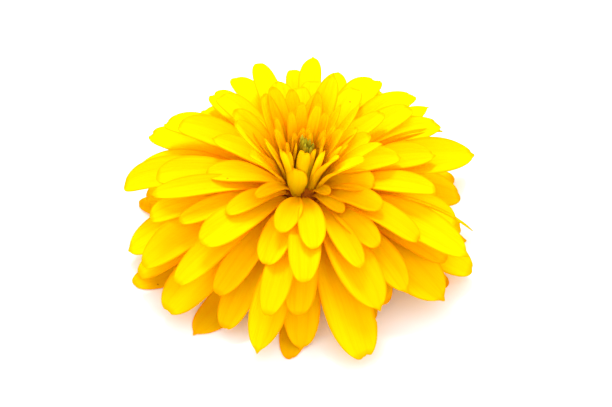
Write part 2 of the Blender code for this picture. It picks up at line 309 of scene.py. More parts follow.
class PetalSettings(PropertyGroup):
    """Sizes of the thin blades that all petals are made of"""

    thickness: FloatProperty(
        name="Thickness", description="Thickness of a petal along its middle", default=0.32 * MM,
        min=0.05 * MM, precision=5, unit="LENGTH",
    )
    edge: FloatProperty(
        name="Edge", description="Thickness of a petal's rim as a share of its thickness", default=0.35,
        min=0.1, max=1.0, subtype="FACTOR",
    )
    groove: FloatProperty(
        name="Groove Depth", description="Depth of a petal's two lengthwise grooves as a share of its width",
        default=0.026, min=0.0, max=0.1, subtype="FACTOR",
    )
    lift: FloatProperty(
        name="Lift", description="Height of a petal's middle surface where it lies on the floor",
        default=0.22 * MM, min=0.0, precision=5, unit="LENGTH",
    )
    settle: FloatProperty(
        name="Settle Depth", description="How far above the floor a petal starts to bend along it",
        default=1.5 * MM, min=0.1 * MM, precision=5, unit="LENGTH",
    )
    cells_along: IntProperty(
        name="Cells Along", description="Faces along a petal", default=28, min=4, max=60,
    )
    cells_across: IntProperty(
        name="Cells Across", description="Faces across a petal", default=14, min=2, max=40,
    )


class BudSettings(PropertyGroup):
    """Sizes of the disc florets in the middle of the head"""

    count: IntProperty(name="Count", description="Number of buds", default=11, min=1, max=60)
    length: FloatProperty(
        name="Length", description="Length of a bud", default=12.4 * MM, precision=5, unit="LENGTH",
    )
    radius: FloatProperty(
        name="Radius", description="Radius of a bud at its foot", default=0.42 * MM, precision=5,
        unit="LENGTH",
    )
    spread: FloatProperty(
        name="Spread", description="Radius of the ring of outermost buds", default=1.25 * MM, precision=5,
        unit="LENGTH",
    )
    foot: FloatProperty(
        name="Foot Height", description="Height of the buds' feet in the head", default=3.8 * MM,
        precision=5, unit="LENGTH",
    )
    lean: FloatProperty(
        name="Lean", description="How far the outermost buds lean outwards", default=math.radians(1.5),
        subtype="ANGLE",
    )
    sway: FloatProperty(
        name="Sway", description="How far all buds lean towards +X", default=math.radians(5.5),
        subtype="ANGLE",
    )


class ColourSettings(PropertyGroup):
    """Colours of the flower and of the floor"""

    petal: FloatVectorProperty(
        name="Petal", description="Colour of a petal's open end", default=(1.0, 0.75, 0.0006), min=0.0,
        max=1.0, subtype="COLOR",
    )
    # Partly the petals' own deeper colour, partly painted shade where their roots lie under the petals above
    petal_root: FloatVectorProperty(
        name="Petal Root", description="Colour of a petal towards its root", default=(1.0, 0.66, 0.0005),
        min=0.0, max=1.0, subtype="COLOR",
    )
    inner: FloatVectorProperty(
        name="Inner Floret", description="Colour of the upright florets", default=(1.0, 0.81, 0.0006),
        min=0.0, max=1.0, subtype="COLOR",
    )
    # Partly the florets' own deeper colour, partly painted shade where their roots lie deep in the throat
    inner_root: FloatVectorProperty(
        name="Inner Root", description="Colour of the upright florets towards their root",
        default=(1.0, 0.68, 0.0005), min=0.0, max=1.0, subtype="COLOR",
    )
    heart_root: FloatVectorProperty(
        name="Heart Root", description="Colour of the innermost florets below their tips",
        default=(0.60, 0.50, 0.01), min=0.0, max=1.0, subtype="COLOR",
    )
    bud: FloatVectorProperty(
        name="Bud", description="Colour of the unopened disc florets", default=(0.50, 0.42, 0.012),
        min=0.0, max=1.0, subtype="COLOR",
    )
    green: FloatVectorProperty(
        name="Bract", description="Colour of the bracts and the stem", default=(0.16, 0.30, 0.05),
        min=0.0, max=1.0, subtype="COLOR",
    )
    floor: FloatVectorProperty(
        name="Floor", description="Colour of the floor", default=(0.92, 0.92, 0.92), min=0.0, max=1.0,
        subtype="COLOR",
    )


class StageSettings(PropertyGroup):
    """The floor, the light and the camera"""

    floor_side: FloatProperty(
        name="Floor Side", description="Side of the square floor", default=4.0, unit="LENGTH",
    )
    lamp_power: FloatProperty(
        name="Lamp Power", description="Power of the soft lamp above and behind the head, in watts",
        default=3.4,
    )
    lamp_side: FloatProperty(
        name="Lamp Side", description="Side of the square lamp", default=0.16, unit="LENGTH",
    )
    lamp_place: FloatVectorProperty(
        name="Lamp Place", description="Middle of the lamp, which points at the head",
        default=(-0.05, 0.33, 0.50), subtype="TRANSLATION", unit="LENGTH",
    )
    sky: FloatProperty(
        name="Sky", description="Strength of the even white light from all around", default=1.5,
    )
    target: FloatVectorProperty(
        name="Target", description="Point that the camera looks at", default=(1.6 * MM, 0.2 * MM, 6.4 * MM),
        subtype="TRANSLATION", unit="LENGTH", precision=5,
    )
    elevation: FloatProperty(
        name="Elevation", description="Height of the camera above the floor as an angle",
        default=math.radians(47.0), subtype="ANGLE",
    )
    distance: FloatProperty(
        name="Distance", description="Distance of the camera from its target", default=0.38, unit="LENGTH",
    )
    lens: FloatProperty(
        name="Lens", description="Focal length in millimetres on a 36 mm sensor", default=97.19,
    )


class Value:
    """A number that a node tree works out. Sums with it add Math nodes to that tree."""

    def __init__(self, tree, socket):
        self.tree = tree
        self.socket = socket

    def math(self, operation, *others):
        return calculate(self.tree, operation, self, *others)

    def __add__(self, other):
        return self.math("ADD", other)

    def __sub__(self, other):
        return self.math("SUBTRACT", other)

    def __rsub__(self, other):
        return calculate(self.tree, "SUBTRACT", other, self)

    def __mul__(self, other):
        return self.math("MULTIPLY", other)

    __radd__ = __add__
    __rmul__ = __mul__

    def __truediv__(self, other):
        return self.math("DIVIDE", other)

    def __rtruediv__(self, other):
        return calculate(self.tree, "DIVIDE", other, self)

    def __pow__(self, other):
        return self.math("POWER", other)

    def sin(self):
        return self.math("SINE")

    def cos(self):
        return self.math("COSINE")

    def abs(self):
        return self.math("ABSOLUTE")

    def exp(self):
        return self.math("EXPONENT")

    def at_least(self, other):
        return self.math("MAXIMUM", other)

    def at_most(self, other):
        return self.math("MINIMUM", other)


def calculate(tree, operation, *values):
    """Adds one Math node to a tree."""
    node = tree.nodes.new("ShaderNodeMath")
    node.operation = operation
    for place, value in enumerate(values):
        give(tree, node.inputs[place], value)
    return Value(tree, node.outputs[0])


def give(tree, socket, value):
    """Links a value or a socket to an input, or sets the input to a plain number, name or colour."""
    if isinstance(value, Value):
        tree.links.new(value.socket, socket)
    elif isinstance(value, bpy.types.NodeSocket):
        tree.links.new(value, socket)
    else:
        socket.default_value = value


def add_node(tree, kind, inputs=None, **settings):
    """Adds a node, sets its properties, and fills its inputs by name or by number."""
    node = tree.nodes.new(kind)
    for name, value in settings.items():
        setattr(node, name, value)
    for name, value in (inputs or {}).items():
        sockets = [s for s in node.inputs if s.enabled and s.name == name] if isinstance(name, str) else ()
        give(tree, sockets[0] if sockets else node.inputs[name], value)
    return node


def first_output(node):
    return next(socket for socket in node.outputs if socket.enabled)


def bell(value, width):
    """1 where value is 0, falling smoothly to 0 a few widths away."""
    return ((value / width) ** 2.0 * -1.0).exp()


def smooth(value):
    """0 below 0, 1 above 1 and a smooth step between."""
    share = value.at_least(0.0).at_most(1.0)
    return share * share * (3.0 - 2.0 * share)


class Tree:
    """A Geometry Nodes tree with named inputs."""

    def __init__(self, name, inputs):
        self.tree = bpy.data.node_groups.new(name, "GeometryNodeTree")
        self.tree.is_modifier = True
        for label, kind in inputs:
            self.tree.interface.new_socket(label, in_out="INPUT", socket_type="NodeSocket" + kind)
        self.tree.interface.new_socket("Geometry", in_out="OUTPUT", socket_type="NodeSocketGeometry")
        self.start = self.tree.nodes.new("NodeGroupInput")
        self.end = self.tree.nodes.new("NodeGroupOutput")

    def input(self, label):
        return Value(self.tree, self.start.outputs[label])

    def add(self, kind, inputs=None, **settings):
        return add_node(self.tree, kind, inputs, **settings)

    def attribute(self, name):
        node = self.add("GeometryNodeInputNamedAttribute", {"Name": name}, data_type="FLOAT")
        return Value(self.tree, first_output(node))

    def store(self, geometry, name, value, data_type="FLOAT", domain="POINT"):
        node = self.add(
            "GeometryNodeStoreNamedAttribute", {"Geometry": geometry, "Name": name, "Value": value},
            data_type=data_type, domain=domain,
        )
        return node.outputs["Geometry"]

    def parts(self, vector):
        node = self.add("ShaderNodeSeparateXYZ", {0: vector})
        return [Value(self.tree, socket) for socket in node.outputs]

    def vector(self, x, y, z):
        return self.add("ShaderNodeCombineXYZ", {0: x, 1: y, 2: z}).outputs[0]

    def turned(self, vector, axis, angle):
        node = self.add("ShaderNodeVectorRotate", {"Vector": vector, "Angle": angle}, rotation_type=axis)
        return node.outputs[0]

    def combined(self, operation, first, second):
        return self.add("ShaderNodeVectorMath", {0: first, 1: second}, operation=operation).outputs[0]

    def finish(self, geometry):
        realized = self.add("GeometryNodeRealizeInstances", {"Geometry": geometry}).outputs[0]
        smooth_faces = self.add("GeometryNodeSetShadeSmooth", {"Geometry": realized}).outputs[0]
        painted = self.add(
            "GeometryNodeSetMaterial", {"Geometry": smooth_faces, "Material": self.input("Material")}
        ).outputs[0]
        self.tree.links.new(painted, self.end.inputs[0])
        return self.tree


def blade_blanks(t):
    """A flat box for each floret, whose points carry their places along, across and over the blade."""
    blank = t.add("GeometryNodeMeshCube", {
        "Size": (2.0, 1.0, 2.0), "Vertices X": t.input("Cells Across") + 1.0,
        "Vertices Y": t.input("Cells Along") + 1.0, "Vertices Z": 2,
    }).outputs["Mesh"]
    x, y, z = t.parts(t.add("GeometryNodeInputPosition").outputs[0])
    blank = t.store(blank, "across", (x * (math.pi / 2)).sin())
    blank = t.store(blank, "along", 1.0 - (0.5 - y).at_least(0.0) ** TIP_CROWDING)
    blank = t.store(blank, "side", z)
    placed = t.add("GeometryNodeInstanceOnPoints", {"Points": t.input("Florets"), "Instance": blank})
    return t.add("GeometryNodeRealizeInstances", {"Geometry": placed.outputs[0]}).outputs[0]


def blade_outline(t, along, across):
    """Half the blade's width, and the share of its length that a place on it lies at."""
    tip_width, sharp, waist = t.attribute("tip_width"), t.attribute("sharp"), t.attribute("waist")
    below = waist + (1.0 - waist) * smooth(along / WIDEST_AT) ** SWELL_POWER
    last = (1.0 - tip_width ** (1.0 / sharp)) ** (1.0 / TIP_POWER)
    beyond = ((along - WIDEST_AT) / (1.0 - WIDEST_AT)).at_least(0.0) * last
    above = (1.0 - beyond ** TIP_POWER) ** sharp
    is_beyond = along.math("GREATER_THAN", WIDEST_AT)
    half_width = t.attribute("width") * 0.5 * (below * (1.0 - is_beyond) + above * is_beyond)
    nick = bell(along - NICK_AT, NICK_REACH) * (across * t.attribute("nick")).at_least(0.0)

    tip_round = (1.0 - (across.abs() * tip_width) ** (1.0 / sharp)) ** (1.0 / TIP_POWER)
    tip_round = (tip_round - last) * (1.0 - WIDEST_AT)
    point = t.attribute("point") * (bell(across, POINT_WIDTH) - 1.0)
    notch = t.attribute("notch_mid") * bell(across, MID_NOTCH_WIDTH)
    notch = notch + t.attribute("notch_side") * bell(across - SIDE_NOTCH_AT, SIDE_NOTCH_WIDTH)
    reach = along.at_most(WIDEST_AT) + beyond * (1.0 - WIDEST_AT)
    reach = reach + tip_round * along ** ROUND_POWER + (point - notch) * along ** POINT_POWER
    return half_width * (1.0 - nick), reach


def blade_relief(t, along, across, half_width):
    """How far a place is raised over the trough, by the waves and the tip's curl less the grooves."""
    grooves = bell(across.abs() - GROOVE_AT, GROOVE_WIDTH) * t.input("Groove") * t.attribute("width")
    grooves = grooves * smooth(along * GROOVE_START) * (1.0 - along ** GROOVE_END_POWER)
    wave = (along * WAVES_ALONG + t.attribute("phase") + across * WAVES_ACROSS).sin()
    wave = wave * t.attribute("wave") * across * across * half_width * smooth(along * WAVE_START)
    tip_turn = ((along - TIP_CURL_FROM) / (1.0 - TIP_CURL_FROM)).at_least(0.0)
    tip_turn = tip_turn * tip_turn * t.attribute("tip_curl") * t.attribute("length")
    return wave + tip_turn - grooves


def half_thickness(t, along, across):
    """Half the blade's thickness: thin at its rim and its end, and stout at its root."""
    edge = t.input("Edge")
    inside = (1.0 - across.abs() ** RIM_POWER) * (1.0 - along ** END_POWER)
    share = edge + (1.0 - edge) * inside.at_least(0.0) ** 0.5
    return t.input("Thickness") * 0.5 * share * (1.0 + ROOT_THICKENING * (1.0 - along) ** 2.0)


def petal_tree():
    """Turns points, each with one floret's measures, into closed thin blades in the head."""
    t = Tree("petal_row", (
        ("Florets", "Geometry"), ("Cells Along", "Int"), ("Cells Across", "Int"), ("Thickness", "Float"),
        ("Edge", "Float"), ("Groove", "Float"), ("Lift", "Float"), ("Settle", "Float"),
        ("Head Place", "Vector"), ("Head Lean", "Float"), ("Material", "Material"),
    ))
    blades = blade_blanks(t)
    across, along, side = t.attribute("across"), t.attribute("along"), t.attribute("side")
    half_width, reach = blade_outline(t, along, across)
    raised = blade_relief(t, along, across, half_width)
    length = t.attribute("length")

    start, end = t.attribute("rise"), t.attribute("droop")
    slope = start + (end - start) * reach
    arc = length / (end - start)
    radius = t.attribute("root_radius") + arc * (slope.sin() - start.sin())
    height = t.attribute("root_height") - arc * (slope.cos() - start.cos())
    curl = t.attribute("cup") * (CURL_AT_ROOT - along)
    curl_angle = across * curl
    curl_radius = half_width / curl
    turn = t.attribute("twist") * along
    bend = t.attribute("bend") * length * along * along

    def in_head(thick):
        """The blade's point this far over its middle surface, leaning with the head, in mm."""
        sideways = (curl_radius - thick) * curl_angle.sin()
        upwards = curl_radius * (1.0 - curl_angle.cos()) + raised + thick * curl_angle.cos()
        out_of_plane = sideways * turn.sin() + upwards * turn.cos()
        local = t.vector(
            radius - out_of_plane * slope.sin(),
            bend + sideways * turn.cos() - upwards * turn.sin(),
            height + out_of_plane * slope.cos(),
        )
        along_x, along_y, up = t.parts(t.turned(local, "Z_AXIS", t.attribute("bearing")))
        swayed = t.vector(along_x + SWAY * up.at_least(0.0) ** 2.0, along_y, up)
        leaning = t.turned(swayed, "X_AXIS", t.input("Head Lean"))
        return t.combined("ADD", leaning, t.input("Head Place"))

    # A blade that would pass through the floor bends so that it lies along it
    middle_height = t.parts(in_head(along * 0.0))[2]
    lift, settle = t.input("Lift"), t.input("Settle")
    low = lift + settle
    settled = lift + settle * ((middle_height - low) / settle).at_most(0.0).exp()
    rise_to = (settled - middle_height) * middle_height.math("LESS_THAN", low)
    px, py, pz = t.parts(in_head(half_thickness(t, along, across) * side))
    place = t.combined("MULTIPLY", t.vector(px, py, pz + rise_to), (MM, MM, MM))
    flat = t.vector(across * half_width, along * length, 0.0)
    blades = t.store(blades, "petal_uv", flat, data_type="FLOAT2", domain="CORNER")
    blades = t.add("GeometryNodeSetPosition", {"Geometry": blades, "Position": place}).outputs[0]
    return t.finish(blades)


def bud_tree():
    """Buds in a spiral on the receptacle's top, each a small five-lobed tube that swells at its end."""
    t = Tree("bud_spiral", (
        ("Start", "Geometry"), ("Count", "Int"), ("Length", "Float"), ("Radius", "Float"),
        ("Spread", "Float"), ("Foot", "Float"), ("Lean", "Float"), ("Sway", "Float"),
        ("Head Place", "Vector"), ("Head Lean", "Float"), ("Material", "Material"),
    ))
    bud = t.add("GeometryNodeMeshCylinder", {
        "Vertices": BUD_SIDES, "Side Segments": BUD_RINGS, "Radius": 1.0, "Depth": t.input("Length"),
    }, fill_type="TRIANGLE_FAN").outputs["Mesh"]
    x, y, z = t.parts(t.add("GeometryNodeInputPosition").outputs[0])
    share = z / t.input("Length") + 0.5
    angle = y.math("ARCTAN2", x)
    # It narrows from its foot on, has lobes past its middle, and closes just below its end
    lobes = 1.0 + LOBE_DEPTH * (angle * BUD_LOBES).cos() * smooth(share * 3.0 - 1.6)
    swell = bell(share - BUD_SWELL_AT, BUD_SWELL_REACH)
    swell = 1.0 - BUD_NARROWING * smooth(share * 1.6) + BUD_SWELL * swell
    closing = 1.0 - BUD_CLOSING * smooth(share * 9.0 - 8.0)
    girth = t.input("Radius") * swell * lobes * closing
    shaped = t.vector(x * girth, y * girth, z + t.input("Length") * 0.5)
    bud = t.add("GeometryNodeSetPosition", {"Geometry": bud, "Position": shaped}).outputs[0]
    bud = t.store(bud, "along", share)

    number = Value(t.tree, t.add("GeometryNodeInputIndex").outputs[0])
    outwards = ((number + 0.5) / t.input("Count")) ** 0.5
    bearing = number * GOLDEN_ANGLE
    reach = t.input("Spread") * outwards
    spots = t.add("GeometryNodePoints", {
        "Count": t.input("Count"),
        "Position": t.vector(reach * bearing.cos(), reach * bearing.sin(), 0.0),
    }).outputs[0]
    least, most = BUD_STRETCH
    stretch = t.add("FunctionNodeRandomValue", {"Min": least, "Max": most, "Seed": SEED}, data_type="FLOAT")
    height = Value(t.tree, first_output(stretch))
    placed = t.add("GeometryNodeInstanceOnPoints", {
        "Points": spots, "Instance": bud, "Rotation": t.vector(0.0, t.input("Lean") * outwards, bearing),
        "Scale": t.vector(1.0, 1.0, height),
    }).outputs[0]
    cluster = t.add("GeometryNodeTransform", {
        "Geometry": placed, "Translation": t.vector(0.0, 0.0, t.input("Foot")),
        "Rotation": t.vector(0.0, t.input("Sway"), 0.0),
    }).outputs[0]
    head = t.add("GeometryNodeTransform", {
        "Geometry": cluster, "Translation": t.input("Head Place"),
        "Rotation": t.vector(t.input("Head Lean"), 0.0, 0.0), "Scale": (MM, MM, MM),
    }).outputs[0]
    return t.finish(head)


def vary(bearing, length, width, over, rng):
    """A floret with its own small lift, bend and twist. It lies over or under its neighbours."""
    lift = STAGGER * (1 if over else -1) + rng.uniform(-1, 1) * SLOPE_PLAY
    bend = rng.uniform(-1, 1) * BEND_PLAY
    twist = rng.uniform(-1, 1) * TWIST_PLAY
    return Floret(bearing, length, width, lift, bend, twist)


def row_florets(row):
    """Every floret of a row: the placed ones, under and over in turn, and the gaps between them filled."""
    rng = random.Random(f"{SEED} {row.name}")
    first = row.placed or ((FIRST_BEARING, row.length, row.width),)
    placed = [
        (bearing % 360.0, number % 2, vary(bearing, length, width, number % 2, rng))
        for number, (bearing, length, width) in enumerate(first)
    ]
    florets = [floret for _, _, floret in placed]
    ring = sorted(placed, key=lambda place: place[0])
    spacing = 360.0 / row.count
    for here, following in zip(ring, ring[1:] + [(ring[0][0] + 360.0, 0, None)]):
        gap = following[0] - here[0]
        steps = max(1, round(gap / spacing))
        for step in range(1, steps):
            bearing = here[0] + gap * step / steps + rng.uniform(-1, 1) * BEARING_PLAY * spacing
            length = row.length * (1 + rng.uniform(-1, 1) * LENGTH_PLAY)
            width = row.width * (1 + rng.uniform(-1, 1) * WIDTH_PLAY)
            florets.append(vary(bearing, length, width, (here[1] + step) % 2, rng))
    return [floret for floret in florets if turned_from_front(floret.bearing) >= row.open_front]


def turned_from_front(bearing):
    return abs((bearing + 90.0 + 180.0) % 360.0 - 180.0)


def tip_kind(row, bearing, rng):
    """Which of the TIPS a floret has. Chance counts for the filled florets alone."""
    is_placed = any(bearing == place for place, _, _ in row.placed)
    pointed_by_chance = rng.random() < POINTED_SHARE and not is_placed
    if row.name in BLUNT_ROWS:
        return "blunt"
    if bearing in SHARP_TIPS.get(row.name, ()):
        return "sharp"
    if bearing in POINTED_TIPS.get(row.name, ()) or pointed_by_chance:
        return "pointed"
    return "round"


def draw(rng, least, most):
    """A number from a range. A range of one number takes no draw."""
    return rng.uniform(least, most) if most > least else least


def tip_measures(row, floret, rng):
    """How wide, how sharp and how ragged the tip of one floret is."""
    bearing = round((floret.bearing + 180.0) % 360.0 - 180.0, 3)
    tip = TIPS[tip_kind(row, bearing, rng)]
    ragged = bearing in RAGGED_TIPS.get(row.name, ())
    return {
        "tip_width": draw(rng, *tip.width),
        "sharp": draw(rng, *tip.sharp),
        "point": draw(rng, *tip.point),
        "notch_mid": rng.uniform(*RAGGED_NOTCHES) if ragged else rng.choice(MID_NOTCHES),
        "notch_side": rng.uniform(*RAGGED_NOTCHES) if ragged else rng.choice(SIDE_NOTCHES),
    }


def measures(row, floret, rng):
    """All the numbers that one floret's blade is shaped by, by attribute name."""
    return {
        "root_radius": row.root_radius,
        "root_height": row.root_height,
        "rise": math.radians(row.rise + floret.lift),
        "droop": math.radians(row.droop + floret.lift),
        "length": floret.length,
        "width": floret.width,
        "cup": row.cup,
        "waist": row.waist,
        "bearing": math.radians(floret.bearing),
        "bend": floret.bend,
        "twist": math.radians(floret.twist),
        "nick": NICK_DEPTH if (row.name, floret.bearing) == NICKED else 0.0,
        "tip_curl": rng.uniform(*TIP_CURLS),
        "wave": rng.uniform(*WAVE_HEIGHTS),
        "phase": rng.uniform(0.0, 2 * math.pi),
        "tint": rng.random(),
        **tip_measures(row, floret, rng),
    }


def seeds_mesh(name, rows):
    """A mesh of loose points, one for each floret of these rows, that carries the florets' measures."""
    florets = []
    for row in rows:
        rng = random.Random(f"{SEED} {row.name} shape")
        florets += [measures(row, floret, rng) for floret in row_florets(row)]
    mesh = bpy.data.meshes.new(name)
    mesh.vertices.add(len(florets))
    for label in florets[0]:
        attribute = mesh.attributes.new(label, "FLOAT", "POINT")
        attribute.data.foreach_set("value", [floret[label] for floret in florets])
    return mesh


def link(name, mesh):
    thing = bpy.data.objects.new(name, mesh)
    bpy.context.scene.collection.objects.link(thing)
    return thing


def evaluated_mesh(thing):
    bpy.context.view_layer.update()
    evaluated = thing.evaluated_get(bpy.context.evaluated_depsgraph_get())
    return bpy.data.meshes.new_from_object(evaluated)


def grow(name, mesh, tree, inputs):
    """Runs a Geometry Nodes tree on a mesh and keeps the result as a plain mesh object."""
    thing = link(name, mesh)
    modifier = thing.modifiers.new("grow", "NODES")
    modifier.node_group = tree
    sockets = {item.name: item.identifier for item in tree.interface.items_tree if item.in_out == "INPUT"}
    for label, value in inputs.items():
        modifier[sockets[label]] = value
    grown = evaluated_mesh(thing)
    grown.name = name
    thing.modifiers.remove(modifier)
    thing.data = grown
    return thing


def mesh_from(bm, name):
    mesh = bpy.data.meshes.new(name)
    bm.to_mesh(mesh)
    bm.free()
    return mesh


def turned(name, profile, material):
    """A closed turned body in the head from a profile of (radius, height) in mm, top to foot."""
    bm = bmesh.new()
    points = [bm.verts.new((radius * MM, 0, height * MM)) for radius, height in profile]
    for here, following in zip(points, points[1:]):
        bm.edges.new((here, following))
    thing = link(name, mesh_from(bm, name))
    screw = thing.modifiers.new("turn", "SCREW")
    screw.steps = screw.render_steps = TURNED_STEPS
    screw.use_merge_vertices = True
    screw.merge_threshold = MERGE_DISTANCE
    result = evaluated_mesh(thing)
    thing.modifiers.remove(screw)
    result.transform(HEAD_FRAME @ Matrix.Scale(1 / MM, 4))
    thing.data = result
    result.materials.append(material)
    result.shade_smooth()
    return thing


def put_in_frame(piece, node):
    """The piece rides on the flower and stands for a CAD node, which is hidden."""
    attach(piece, BODY)
    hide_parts(node)


def new_material(name):
    material = bpy.data.materials.new(name)
    material.use_nodes = True
    return material, material.node_tree, material.node_tree.nodes["Principled BSDF"]


def attribute_value(tree, name):
    return Value(tree, add_node(tree, "ShaderNodeAttribute", attribute_name=name).outputs["Fac"])


def blend_colours(tree, share, first, second):
    node = add_node(tree, "ShaderNodeMix", {"Factor": share}, data_type="RGBA")
    for name, colour in (("A", first), ("B", second)):
        socket = next(s for s in node.inputs if s.enabled and s.name == name)
        give(tree, socket, colour)
    return first_output(node)


def scaled(colour, shares):
    """A colour with each channel scaled by its share, as red, green, blue and alpha."""
    return (*(channel * share for channel, share in zip(colour, shares)), 1.0)


def noise(tree, place, scale, detail, roughness=0.5):
    inputs = {"Vector": place, "Scale": scale, "Detail": detail, "Roughness": roughness}
    return Value(tree, add_node(tree, "ShaderNodeTexNoise", inputs).outputs[0])


def bump_from(tree, shader, height, strength, distance):
    """Gives a shader low relief, and returns the relief's normal."""
    inputs = {"Height": height, "Strength": strength, "Distance": distance}
    normal = add_node(tree, "ShaderNodeBump", inputs).outputs[0]
    give(tree, shader.inputs["Normal"], normal)
    return normal


def fleck_cover(tree, place, tint):
    """1 on a fleck and 0 off it, for places on a petal's own map."""
    shift = add_node(tree, "ShaderNodeCombineXYZ", {0: tint * FLECK_SHIFT[0], 1: tint * FLECK_SHIFT[1]})
    spot = add_node(tree, "ShaderNodeVectorMath", {0: place, 1: shift.outputs[0]}, operation="ADD").outputs[0]
    cells = add_node(
        tree, "ShaderNodeTexVoronoi", {"Vector": spot, "Scale": 1.0 / FLECK_SPACING}, voronoi_dimensions="2D"
    )
    nearness = 1.0 - Value(tree, cells.outputs["Distance"]) * FLECK_SPACING / FLECK_RADIUS
    chance = Value(tree, add_node(tree, "ShaderNodeSeparateColor", {0: cells.outputs["Color"]}).outputs[0])
    return smooth(nearness * 2.0) * chance.math("GREATER_THAN", FLECKS_HIDDEN)


def petal_material(name, face, root, inside, root_reach):
    """A thin petal, veined, flecked and lit through from behind, with painted shade at its rim, grooves and
    root.

    inside is the colour of the root's upper face, and root_reach how far up both root colours go.
    """
    material, tree, shader = new_material(name)
    along, tint, side = (attribute_value(tree, label) for label in ("along", "tint", "side"))
    across = attribute_value(tree, "across").abs()
    place = add_node(tree, "ShaderNodeUVMap", uv_map="petal_uv").outputs[0]
    stretched = add_node(tree, "ShaderNodeMapping", {"Vector": place, "Scale": VEIN_SCALE}).outputs[0]
    veins = noise(tree, stretched, 1.0, VEIN_DETAIL, VEIN_ROUGHNESS)

    # The root colours, partly own deeper colour and partly painted shade at the roots, fade into the face's
    # colour
    from_root = (along - ROOT_UNMIXED * root_reach) / ((1.0 - ROOT_UNMIXED) * root_reach)
    at_root = blend_colours(tree, smooth(side * 0.5 + 0.5), (*root, 1.0), (*inside, 1.0))
    colour = blend_colours(tree, smooth(from_root), at_root, (*face, 1.0))
    # Painted shade along the two grooves
    groove_shade = bell(across - GROOVE_AT, GROOVE_SHADE_WIDTH) * smooth(along * GROOVE_START)
    # Painted shade along the rim and at the tip's end
    rim = (across - RIM_FROM_ACROSS) / (1.0 - RIM_FROM_ACROSS)
    rim = rim.at_least((along - RIM_FROM_ALONG) / (1.0 - RIM_FROM_ALONG))
    deeper = scaled(face, DEEPER)
    for share, shade in (
        (tint * TINT_SHARE, deeper),
        (smooth(veins * VEIN_GAIN - VEIN_OFFSET) * VEIN_SHARE, deeper),
        (groove_shade * GROOVE_SHADE_SHARE, deeper),
        (smooth(rim) * RIM_SHADE_SHARE, scaled(face, RIM_PAINTED_SHADE)),
        (fleck_cover(tree, place, tint) * FLECK_SHARE, FLECK_BROWN),
    ):
        colour = blend_colours(tree, share, colour, shade)
    give(tree, shader.inputs["Base Color"], colour)
    give(tree, shader.inputs["Roughness"], veins * VEIN_GLOSS + PETAL_ROUGHNESS)
    shader.inputs["Specular IOR Level"].default_value = 0.0
    normal = bump_from(tree, shader, veins, VEIN_RELIEF, VEIN_BUMP)
    through = add_node(tree, "ShaderNodeBsdfTranslucent", {"Color": colour, "Normal": normal}).outputs[0]
    skin = add_node(tree, "ShaderNodeMixShader", {0: SEEN_THROUGH, 1: shader.outputs[0], 2: through})
    give(tree, tree.nodes["Material Output"].inputs["Surface"], skin.outputs[0])
    return material


def matt_material(name, colour, darker, scale, roughness):
    """A matt skin with soft mottling, for the buds, the bracts, the stem and the core."""
    material, tree, shader = new_material(name)
    place = add_node(tree, "ShaderNodeTexCoord").outputs["Object"]
    mottle = noise(tree, place, scale, MOTTLE_DETAIL)
    lightness = smooth(mottle * MOTTLE_GAIN - MOTTLE_OFFSET)
    give(tree, shader.inputs["Base Color"], blend_colours(tree, lightness, darker, (*colour, 1.0)))
    give(tree, shader.inputs["Roughness"], (mottle - 0.5) * MOTTLE_GLOSS + roughness)
    shader.inputs["Specular IOR Level"].default_value = MATT_SPECULAR
    bump_from(tree, shader, mottle, MOTTLE_RELIEF, MOTTLE_BUMP)
    return material


def blade_inputs(scene, material):
    sizes = scene.flower_petals
    return {
        "Cells Along": sizes.cells_along,
        "Cells Across": sizes.cells_across,
        "Thickness": sizes.thickness / MM,
        "Edge": sizes.edge,
        "Groove": sizes.groove,
        "Lift": sizes.lift / MM,
        "Settle": sizes.settle / MM,
        "Head Place": tuple(HEAD_PLACE / MM),
        "Head Lean": HEAD_LEAN,
        "Material": material,
    }


class FLOWER_OT_petals(Operator):
    """Adds the rows of open petals and of upright florets, from the skirt on the floor to the heart"""

    bl_idname = "flower.add_petals"
    bl_label = "Add Petals"

    def execute(self, context):
        colours = context.scene.flower_colours
        shades = {
            "yellow": ("petal_yellow", colours.petal, colours.petal_root, colours.petal_root),
            "gold": ("floret_gold", colours.inner, colours.inner_root, colours.heart_root),
            "olive": ("floret_olive", colours.inner, colours.heart_root, colours.heart_root),
        }
        materials = {label: petal_material(*shade, ROOT_REACH[label]) for label, shade in shades.items()}
        tree = petal_tree()
        for name, row_names, label in PETAL_PIECES:
            rows = [row for row in ROWS + THIN_ROWS if row.name in row_names]
            piece = grow(name, seeds_mesh(name, rows), tree, blade_inputs(context.scene, materials[label]))
            put_in_frame(piece, "ray_florets")
        return {"FINISHED"}


class FLOWER_OT_receptacle(Operator):
    """Adds the core that the petals grow from, coloured dark red-brown as painted shade for the gaps between
    their roots
    """

    bl_idname = "flower.add_receptacle"
    bl_label = "Add Receptacle"

    def execute(self, context):
        brown = matt_material("core_brown", CORE_PAINTED_SHADE, CORE_DEEPEST_SHADE, *MATT_SKINS["core"])
        piece = turned("receptacle", RECEPTACLE_PROFILE, brown)
        put_in_frame(piece, "ray_florets")
        return {"FINISHED"}


class FLOWER_OT_buds(Operator):
    """Adds the unopened disc florets and the button they stand on"""

    bl_idname = "flower.add_buds"
    bl_label = "Add Buds"

    def execute(self, context):
        sizes = context.scene.flower_buds
        bud = context.scene.flower_colours.bud
        olive = matt_material("bud_olive", bud, scaled(bud, DARKER), *MATT_SKINS["bud"])
        button = turned("disc_button", BUTTON_PROFILE, olive)
        put_in_frame(button, "disc_florets")
        empty = bpy.data.meshes.new("disc_buds")
        piece = grow("disc_buds", empty, bud_tree(), {
            "Count": sizes.count,
            "Length": sizes.length / MM,
            "Radius": sizes.radius / MM,
            "Spread": sizes.spread / MM,
            "Foot": sizes.foot / MM,
            "Lean": sizes.lean,
            "Sway": sizes.sway,
            "Head Place": tuple(HEAD_PLACE),
            "Head Lean": HEAD_LEAN,
            "Material": olive,
        })
        put_in_frame(piece, "disc_florets")
        return {"FINISHED"}


